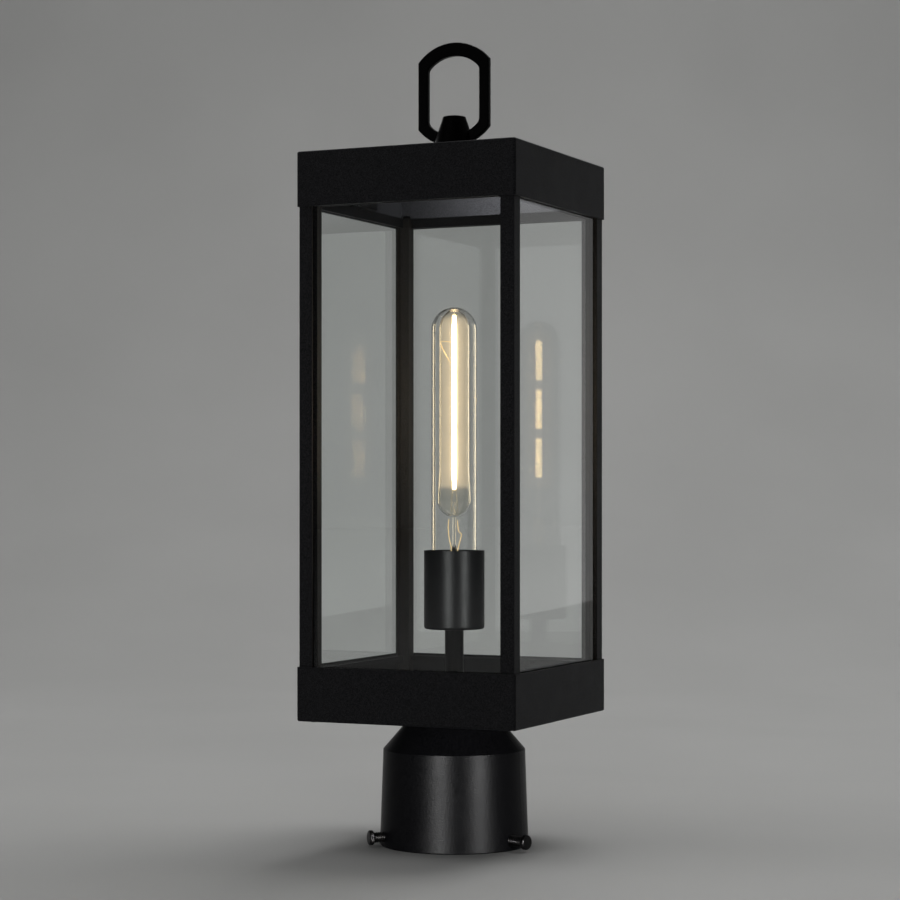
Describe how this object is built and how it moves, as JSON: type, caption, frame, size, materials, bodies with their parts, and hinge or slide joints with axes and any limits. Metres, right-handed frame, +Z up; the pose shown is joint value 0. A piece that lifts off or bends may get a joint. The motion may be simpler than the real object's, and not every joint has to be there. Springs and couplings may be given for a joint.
{
  "type": "post top lantern",
  "caption": "Square clear-paned lantern on a round cast post collar, with a carrying loop and a tubular lamp inside.",
  "frame": {"origin": "centre of the collar's open mouth, in the plane of its rim", "axes": "+Z up along the post; -Y out of the front pane; +X out of the right pane"},
  "size_m": [0.1396, 0.1396, 0.4814],
  "materials": {
    "frame_coat": "black fine-textured powder coat on sheet and extrusion, satin",
    "cast_coat": "black sand-textured powder coat on castings, satin",
    "black_screw": "blackened steel screws, semi-gloss",
    "pane_glass": "clear flat glass with polished faces",
    "lamp_glass": "clear thin lamp glass",
    "filament_glow": "lit warm white strips",
    "lead_metal": "thin bright lead wire",
    "lamp_cap_metal": "plain nickelled screw cap",
    "lamp_black_glass": "dark insulating glass",
    "holder_insulator": "unglazed moulded insulator",
    "holder_brass": "bare sheet brass",
    "zinc_steel": "bright zinc-plated steel"
  },
  "bodies": {
    "lantern": {"post_collar": "cast_coat", "base_tray": "frame_coat", "collar_screws": "zinc_steel", "stem_tube": "frame_coat", "wiring_nipple": "zinc_steel", "nipple_nuts": "zinc_steel", "corner_post_front_left": "frame_coat", "corner_post_front_right": "frame_coat", "corner_post_back_left": "frame_coat", "corner_post_back_right": "frame_coat", "bottom_rail_front": "frame_coat", "bottom_rail_back": "frame_coat", "bottom_rail_left": "frame_coat", "bottom_rail_right": "frame_coat", "top_rail_front": "frame_coat", "top_rail_back": "frame_coat", "top_rail_left": "frame_coat", "top_rail_right": "frame_coat", "glass_pane_front": "pane_glass", "glass_pane_back": "pane_glass", "glass_pane_left": "pane_glass", "glass_pane_right": "pane_glass", "post_screws_bottom": "black_screw", "post_screws_top": "black_screw", "cap_bridge": "frame_coat", "bridge_screws": "zinc_steel", "cap_stud": "zinc_steel", "stud_nuts": "zinc_steel", "socket_cup": "frame_coat", "lampholder_bracket": "zinc_steel", "lampholder_body": "holder_insulator", "lampholder_screws": "zinc_steel", "lampholder_shell": "holder_brass", "lampholder_contact": "holder_brass"},
    "cap": {"cap_tray": "frame_coat"},
    "finial": {"finial": "cast_coat"},
    "bulb": {"bulb_glass": "lamp_glass", "bulb_inner_tube": "lamp_glass", "bulb_filament": "filament_glow", "bulb_stem": "lamp_glass", "bulb_wires": "lead_metal", "bulb_cap_shell": "lamp_cap_metal", "bulb_cap_insulator": "lamp_black_glass", "bulb_cap_contact": "lamp_cap_metal"},
    "screw_left": {"thumb_screw_left": "black_screw"},
    "screw_right": {"thumb_screw_right": "black_screw"},
    "screw_back": {"thumb_screw_back": "black_screw"}
  },
  "joints": [
    {"name": "cap_lift", "type": "slide", "parent": "lantern", "child": "cap", "axis": [0, 0, 1], "range_m": [0, 0.06]},
    {"name": "finial_turn", "type": "hinge", "parent": "cap", "child": "finial", "pos_m": [0, 0, 0.4113], "axis": [0, 0, 1], "continuous": true},
    {"name": "bulb_unscrew", "type": "slide", "parent": "lantern", "child": "bulb", "axis": [0, 0, 1], "range_m": [0, 0.029]},
    {"name": "screw_left_travel", "type": "slide", "parent": "lantern", "child": "screw_left", "axis": [-0.7193, -0.6947, 0], "range_m": [-0.0062, 0.0026]},
    {"name": "screw_right_travel", "type": "slide", "parent": "lantern", "child": "screw_right", "axis": [0.9613, -0.2756, 0], "range_m": [-0.009, 0]},
    {"name": "screw_back_travel", "type": "slide", "parent": "lantern", "child": "screw_back", "axis": [-0.2419, 0.9703, 0], "range_m": [-0.0074, 0.0014]}
  ]
}
